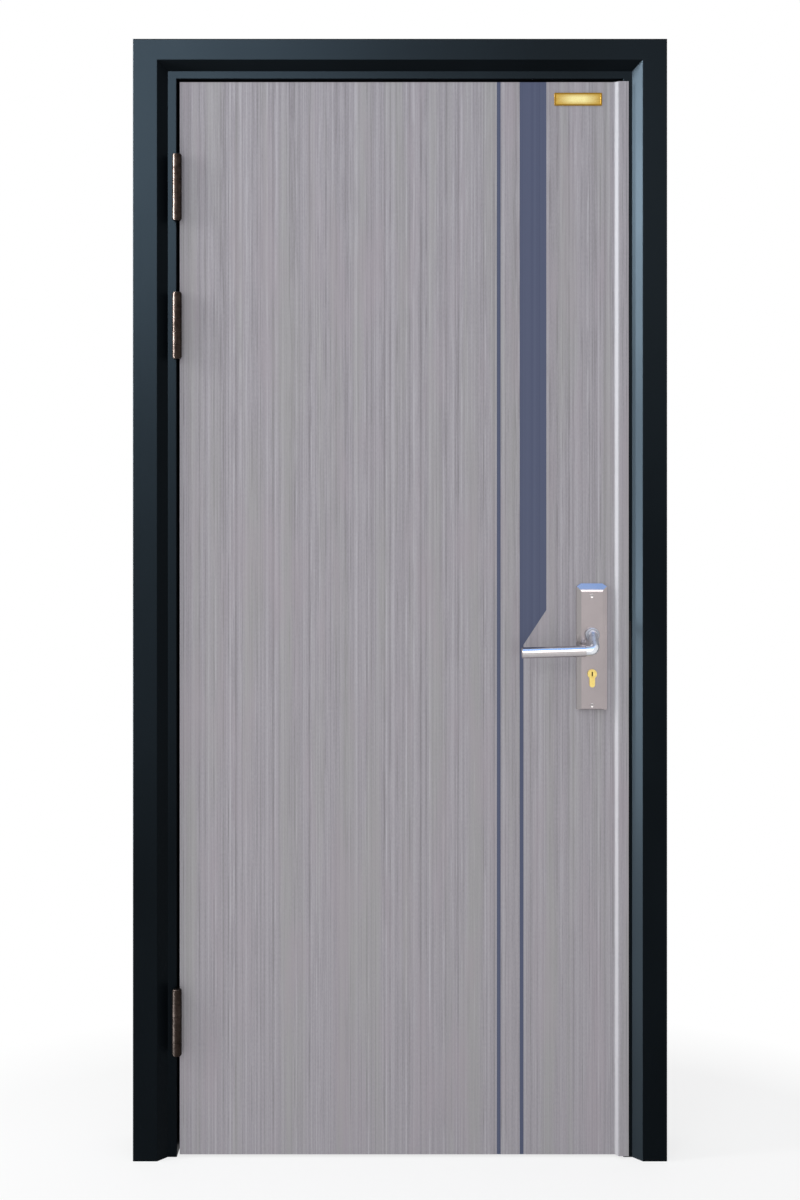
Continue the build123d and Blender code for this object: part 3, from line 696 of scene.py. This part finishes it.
def dress_nodes():
    """Each CAD node takes its own finish, or that of its record slot."""
    for part in frame["record"]["subparts"]:
        node = part["node"]
        finish = NODE_FINISHES.get(node) or SLOT_FINISHES[part["material_slot"]]
        for slot in frame["nodes"][node].material_slots:
            slot.material = finish


def wall(shell, lower, upper):
    """Quads between two loops of equal length."""
    count = len(lower)
    for i in range(count):
        after = (i + 1) % count
        shell.faces.new((lower[i], lower[after], upper[after], upper[i]))


def loft(shell, loops):
    """Loops of points joined by quads. The first and the last one stay open."""
    rings = [[shell.verts.new(point) for point in loop] for loop in loops]
    for lower, upper in zip(rings, rings[1:]):
        wall(shell, lower, upper)
    return rings


def ring(radius, height):
    """Points of a circle, seen from the end of its axis."""
    points = []
    for i in range(SCREW_SIDES):
        angle = 2 * math.pi * i / SCREW_SIDES
        points.append(Vector((radius * math.cos(angle), radius * math.sin(angle), height)))
    return points


def cross(reach, half_width, height):
    """The outline of a cross recess."""
    points = []
    for quarter in range(4):
        turn = Matrix.Rotation(quarter * math.pi / 2, 3, "Z")
        for x, y in ((half_width, half_width), (half_width, reach), (-half_width, reach)):
            points.append(turn @ Vector((x, y, height)))
    return points


def screw_head(radius, height, dish, recess):
    """A head with a rounded rim, a top dished by a share of its height, and a cross recess, along +Z."""
    shell = bmesh.new()
    rim = SCREW_RIM * height
    bend = SCREW_RIM_ROUND * rim
    top = (1 - dish) * height
    reach = recess * radius
    half_width = SCREW_RECESS_WIDTH * radius
    loops = [
        ring(radius, 0.0),
        ring(radius, height - rim),
        ring(radius - bend, height - bend),
        ring(radius - rim, height),
    ]
    if dish:
        loops += [ring(radius - rim - SCREW_LAND * radius, height), ring(SCREW_WELL * reach, top)]
    rings = loft(shell, loops)
    shell.faces.new(rings[0])
    mouth = [shell.verts.new(point) for point in cross(reach, half_width, top)]
    taper = cross(SCREW_TAPER_REACH * reach, SCREW_TAPER_WIDTH * half_width, SCREW_FLOOR * height)
    bottom = [shell.verts.new(point) for point in taper]
    top_edges = [shell.edges.new((mouth[i - 1], mouth[i])) for i in range(len(mouth))]
    top_edges += [edge for edge in shell.edges if all(vert in rings[-1] for vert in edge.verts)]
    bmesh.ops.triangle_fill(shell, edges=top_edges, use_beauty=True)
    wall(shell, mouth, bottom)
    shell.faces.new(bottom)
    bmesh.ops.recalc_face_normals(shell, faces=shell.faces[:])
    mesh = bpy.data.meshes.new("screw_head")
    shell.to_mesh(mesh)
    shell.free()
    return mesh


def piece(name, shell, body, finish, slot):
    """A new object from a mesh, with its finish and its body. Its record slot is not used."""
    mesh = bpy.data.meshes.new(name)
    shell.to_mesh(mesh)
    shell.free()
    thing = bpy.data.objects.new(name, mesh)
    bpy.context.scene.collection.objects.link(thing)
    mesh.materials.append(finish)
    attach(thing, body)


def screws(name, seats, axis, radius, height, body, finish, slot, dish=0.0, recess=SCREW_RECESS):
    """One piece of several screw heads, each on its seat and facing along an axis."""
    head = screw_head(radius, height, dish, recess)
    shell = bmesh.new()
    turn = Vector((0, 0, 1)).rotation_difference(Vector(axis)).to_matrix().to_4x4()
    for i, seat in enumerate(seats):
        spin = Matrix.Rotation(SCREW_TURN + SCREW_TURN_STEP * i, 4, "Z")
        place = Matrix.Translation(Vector(seat)) @ turn @ spin
        before = len(shell.verts)
        shell.from_mesh(head)
        shell.verts.ensure_lookup_table()
        bmesh.ops.transform(shell, matrix=place, verts=shell.verts[before:])
    piece(name, shell, body, finish, slot)


def plate_screws():
    """Two screws in each handle plate, above the collar and at the foot."""
    for name, side, direction in zip(PLATE_SCREWS, ("outside", "inside"), (-1, 1)):
        low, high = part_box(side + "_handle_plate")
        x = (low.x + high.x) / 2
        y = low.y if direction < 0 else high.y
        seats = [(x, y, high.z - PLATE_SCREW_DOWN), (x, y, low.z + PLATE_SCREW_UP)]
        screws(
            name, seats, (0, direction, 0), PLATE_SCREW_RADIUS, PLATE_SCREW_HEIGHT,
            "leaf", SCREW, "handle_chrome", PLATE_SCREW_DISH, PLATE_SCREW_RECESS,
        )


def hinge_face(node, leaf_front, direction):
    """The X of a hinge plate's open face, behind the leaf's front."""
    points = [vert.co for vert in frame["nodes"][node].data.vertices]
    xs = [point.x for point in points if point.y > leaf_front + HINGE_FACE_BEHIND]
    return max(xs) if direction > 0 else min(xs)


def hinge_screws():
    """Four screws in each hinge plate, on the face that opens."""
    leaf_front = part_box("leaf_front_skin")[0].y
    for place in HINGES:
        for side, direction, body in (("frame", 1, "frame"), ("door", -1, "leaf")):
            node = place + "_hinge_" + side + "_plate"
            low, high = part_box(node)
            face = hinge_face(node, leaf_front, direction)
            seats = []
            for inset in HINGE_SCREW_INSETS:
                for end in HINGE_SCREW_ENDS:
                    z = low.z + end if inset == HINGE_SCREW_INSETS[0] else high.z - end
                    seats.append((face, leaf_front + inset, z))
            screws(
                place + "_hinge_" + side + "_screws", seats, (direction, 0, 0),
                HINGE_SCREW_RADIUS, HINGE_SCREW_HEIGHT, body, BRONZE, "hinge_bronze",
            )


def lock_screws():
    """Screws at the ends of the forend."""
    low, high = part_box("lock_forend")
    y = (low.y + high.y) / 2
    seats = [(high.x, y, low.z + FOREND_SCREW_END), (high.x, y, high.z - FOREND_SCREW_END)]
    screws(
        "forend_screws", seats, (1, 0, 0), LOCK_SCREW_RADIUS, LOCK_SCREW_HEIGHT,
        "leaf", STEEL, "lock_steel",
    )


def rounded_rectangle(width, height, corner, depth):
    """Points round a rectangle in the XZ plane at a depth, each corner an arc."""
    points = []
    for quarter, (sx, sz) in enumerate(((1, 1), (-1, 1), (-1, -1), (1, -1))):
        centre = Vector((sx * (width / 2 - corner), depth, sz * (height / 2 - corner)))
        for step in range(CORNER_STEPS + 1):
            angle = (quarter + step / CORNER_STEPS) * math.pi / 2
            points.append(centre + corner * Vector((math.cos(angle), 0, math.sin(angle))))
    return points


def name_plate():
    """A bare gold plate with a raised rim, high on the lock side of the leaf."""
    centre = name_plate_centre()
    field_depth = NAME_PLATE_SINK - NAME_PLATE_THICKNESS
    steps = (
        (0.0, 0.0),
        (0.0, NAME_PLATE_BEVEL - NAME_PLATE_THICKNESS),
        (NAME_PLATE_BEVEL, -NAME_PLATE_THICKNESS),
        (NAME_PLATE_RIM - NAME_PLATE_BEVEL, -NAME_PLATE_THICKNESS),
        (NAME_PLATE_RIM + NAME_PLATE_BEVEL, field_depth),
        (NAME_PLATE_RISE_INSET * NAME_PLATE_HEIGHT, field_depth - NAME_PLATE_RISE * NAME_PLATE_SINK),
    )
    loops = []
    for inset, depth in steps:
        width = NAME_PLATE_WIDTH - 2 * inset
        height = NAME_PLATE_HEIGHT - 2 * inset
        corner = max(NAME_PLATE_CORNER - inset, NAME_PLATE_LEAST_CORNER)
        loops.append([centre + point for point in rounded_rectangle(width, height, corner, depth)])
    shell = bmesh.new()
    rings = loft(shell, loops)
    shell.faces.new(rings[-1])
    shell.faces.new(rings[0])
    bmesh.ops.recalc_face_normals(shell, faces=shell.faces[:])
    piece("name_plate", shell, "leaf", GOLD, "cylinder_brass")


def seen_directly(tree):
    """1 for rays from the camera, and for reflected and refracted ones."""
    path = tree.nodes.new("ShaderNodeLightPath")
    total = path.outputs["Is Camera Ray"]
    for name in ("Is Glossy Ray", "Is Transmission Ray"):
        larger = tree.nodes.new("ShaderNodeMath")
        larger.operation = "MAXIMUM"
        tree.links.new(total, larger.inputs[0])
        tree.links.new(path.outputs[name], larger.inputs[1])
        total = larger.outputs["Value"]
    return total


def white_world():
    """A white surround to look at, with a plain level of light."""
    world = bpy.data.worlds.new("studio")
    bpy.context.scene.world = world
    world.use_nodes = True
    tree = world.node_tree
    light = tree.nodes["Background"]
    light.inputs["Color"].default_value = (*WHITE, 1.0)
    light.inputs["Strength"].default_value = WORLD_LIGHT
    white = tree.nodes.new("ShaderNodeBackground")
    white.inputs["Color"].default_value = (*WHITE, 1.0)
    white.inputs["Strength"].default_value = 1.0
    mix = tree.nodes.new("ShaderNodeMixShader")
    tree.links.new(seen_directly(tree), mix.inputs["Fac"])
    tree.links.new(light.outputs["Background"], mix.inputs[1])
    tree.links.new(white.outputs["Background"], mix.inputs[2])
    tree.links.new(mix.outputs["Shader"], tree.nodes["World Output"].inputs["Surface"])


def scenery(name, shell, finish, place):
    """A new object that stands round the door and isn't part of it."""
    mesh = bpy.data.meshes.new(name)
    shell.to_mesh(mesh)
    shell.free()
    mesh.materials.append(finish.material)
    thing = bpy.data.objects.new(name, mesh)
    thing.location = place
    bpy.context.scene.collection.objects.link(thing)
    return thing


def floor_finish():
    """Pale and dull near the door, and white further off for rays that see it directly."""
    finish = Finish("floor_pale")
    finish.set(Base_Color=FLOOR_COLOUR, Roughness=FLOOR_ROUGHNESS, Specular_IOR_Level=FLOOR_GLOSS)
    coordinates = finish.add("ShaderNodeTexCoord")
    distance = finish.add("ShaderNodeVectorMath", operation="DISTANCE")
    finish.join(coordinates.outputs["Object"], distance.inputs[0])
    distance.inputs[1].default_value = (0.0, -FLOOR_PATCH_FORWARD, 0.0)
    fade = finish.spread(distance.outputs["Value"], FLOOR_FADE_FROM, FLOOR_FADE_TO)
    faded = finish.math("MULTIPLY", fade, seen_directly(finish.tree))
    path = finish.add("ShaderNodeLightPath")
    lift = finish.math("MULTIPLY", path.outputs["Is Camera Ray"], FLOOR_LIFT)
    white = finish.add("ShaderNodeEmission")
    white.inputs["Strength"].default_value = 1.0
    mix = finish.add("ShaderNodeMixShader")
    finish.join(finish.math("MAXIMUM", faded, lift), mix.inputs["Fac"])
    finish.join(finish.shader.outputs["BSDF"], mix.inputs[1])
    finish.join(white.outputs["Emission"], mix.inputs[2])
    finish.join(mix.outputs["Shader"], finish.tree.nodes["Material Output"].inputs["Surface"])
    return finish


def pale_floor():
    """A pale floor that keeps the door's shadow and fades to white away from it."""
    low, high = cad_bounds
    shell = bmesh.new()
    bmesh.ops.create_circle(shell, cap_ends=True, segments=FLOOR_SIDES, radius=FLOOR_RADIUS)
    place = ((low[0] + high[0]) / 2, (low[1] + high[1]) / 2, low[2])
    floor = scenery("floor", shell, floor_finish(), place)


def sky_card():
    """A blue card overhead, which only polished faces show."""
    shell = bmesh.new()
    bmesh.ops.create_grid(shell, x_segments=1, y_segments=1, size=0.5)
    bmesh.ops.scale(shell, vec=(*SKY_CARD_SIZE, 1.0), verts=shell.verts)
    finish = Finish("sky_card")
    glow = finish.add("ShaderNodeEmission")
    glow.inputs["Color"].default_value = SKY_CARD_LIGHT
    finish.join(glow.outputs["Emission"], finish.tree.nodes["Material Output"].inputs["Surface"])
    card = scenery("sky_card", shell, finish, SKY_CARD_PLACE)
    card.visible_camera = False
    card.visible_diffuse = False
    card.visible_transmission = False
    card.visible_shadow = False


def area_light(name, place, target, size, power, colour, glossy=True):
    """A soft rectangular lamp that faces a point."""
    lamp = bpy.data.lights.new(name, "AREA")
    lamp.shape = "RECTANGLE"
    lamp.size, lamp.size_y = size
    lamp.energy = power
    lamp.color = colour
    thing = bpy.data.objects.new(name, lamp)
    thing.location = place
    thing.visible_glossy = glossy
    thing.rotation_euler = (Vector(target) - Vector(place)).to_track_quat("-Z", "Y").to_euler()
    bpy.context.scene.collection.objects.link(thing)
    return thing


def node_set(name, things):
    """A collection of CAD nodes and pieces of the scene."""
    collection = bpy.data.collections.new(name)
    for thing in things:
        collection.objects.link(frame["nodes"].get(thing) or bpy.data.objects[thing])
    return collection


def reflector(name, place, target, size, power, colour, shown_on, shaded_by=()):
    """A lamp that only the gloss of some nodes and pieces shows, shaded by all things or by some."""
    thing = area_light(name, place, target, size, power, colour)
    thing.visible_diffuse = False
    thing.light_linking.receiver_collection = node_set(name + "_on", shown_on)
    if shaded_by:
        thing.light_linking.blocker_collection = node_set(name + "_by", shaded_by)


def lamps():
    """Soft lamps round the door, and reflectors that draw the gloss on its frame, hinges and handle."""
    for name, values in SOFT_LAMPS.items():
        area_light(name, *values)
    reflector(
        "brow_sheen", BROW_PLACE, BROW_TARGET, BROW_SIZE, BROW_POWER, WHITE,
        FRAME_NODES + HANDLE_NODES + PLATE_SCREWS,
    )
    for i, (height, length, power) in enumerate(FRONT_SHEENS):
        reflector(
            "front_sheen_" + str(i), (FRONT_SHEEN_X, FRONT_SHEEN_Y, height),
            (0.0, 0.0, FRONT_SHEEN_AIM * height), (FRONT_SHEEN_WIDTH, length), power, SHEEN_TINT,
            FRAME_NODES,
        )
    for i, (height, length, power) in enumerate(SIDE_SHEENS):
        reflector(
            "side_sheen_" + str(i), (SIDE_SHEEN_X, SIDE_SHEEN_Y, height),
            (SIDE_SHEEN_AIM_X, 0.0, height - SIDE_SHEEN_AIM_DOWN), (SIDE_SHEEN_WIDTH, length), power,
            SHEEN_TINT, FRAME_NODES + HINGE_NODES + ("leaf_lock_lip",), FRAME_NODES,
        )


def camera():
    """A level view along +Y on the door's middle line."""
    low, high = cad_bounds
    casing_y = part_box("head_jamb")[0].y
    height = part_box("hinge_jamb")[1].z
    focal_pixels = EYE_DISTANCE * CASING_PIXELS / height
    lens = bpy.data.cameras.new("camera")
    lens.sensor_fit = "VERTICAL"
    lens.sensor_height = SENSOR
    lens.lens = focal_pixels * SENSOR / IMAGE_HEIGHT
    lens.shift_y = (height / 2 - EYE_HEIGHT) * focal_pixels / EYE_DISTANCE / IMAGE_HEIGHT
    thing = bpy.data.objects.new("camera", lens)
    thing.location = ((low[0] + high[0]) / 2, casing_y - EYE_DISTANCE, EYE_HEIGHT)
    thing.rotation_euler = (math.pi / 2, 0, 0)
    bpy.context.scene.collection.objects.link(thing)
    bpy.context.scene.camera = thing


dress_nodes()
plate_screws()
hinge_screws()
lock_screws()
name_plate()
white_world()
pale_floor()
sky_card()
lamps()
camera()
bpy.context.scene.view_settings.view_transform = "Standard"
